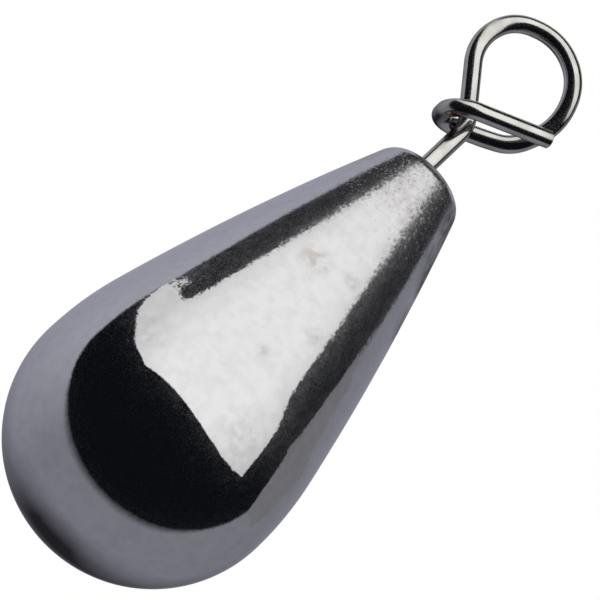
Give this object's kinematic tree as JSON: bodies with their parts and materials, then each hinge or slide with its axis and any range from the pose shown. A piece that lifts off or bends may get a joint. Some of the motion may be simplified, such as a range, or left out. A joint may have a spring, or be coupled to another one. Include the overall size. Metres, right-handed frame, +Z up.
{
  "type": "fishing sinker",
  "caption": "Polished metal teardrop sinker with a flat tip, hung from a swivelling wire eye whose wrapped tail pinches the fishing line against the loop.",
  "frame": {"origin": "centre of the loop of the line eye, on the swivel axis", "axes": "+Z up along the swivel axis, as the sinker hangs from its line; +X to the side where the eye's tail ends; +Y through the loop, away from the side on which the tail lies"},
  "size_m": [0.0124, 0.0124, 0.0324],
  "materials": {
    "tungsten": "mirror polished sintered tungsten alloy with fine pits",
    "wire": "bright drawn stainless wire",
    "brass": "turned",
    "resin": "cured amber resin"
  },
  "bodies": {
    "eye": {"line_eye": "wire"},
    "sinker": {"sinker_body": "tungsten", "resin_bond": "resin", "swivel_barrel": "brass", "barrel_plug": "brass"}
  },
  "joints": [
    {"name": "eye_swivel", "type": "hinge", "parent": "eye", "child": "sinker", "pos_m": [0, 0, -0.00741], "axis": [0, 0, 1], "continuous": true}
  ]
}
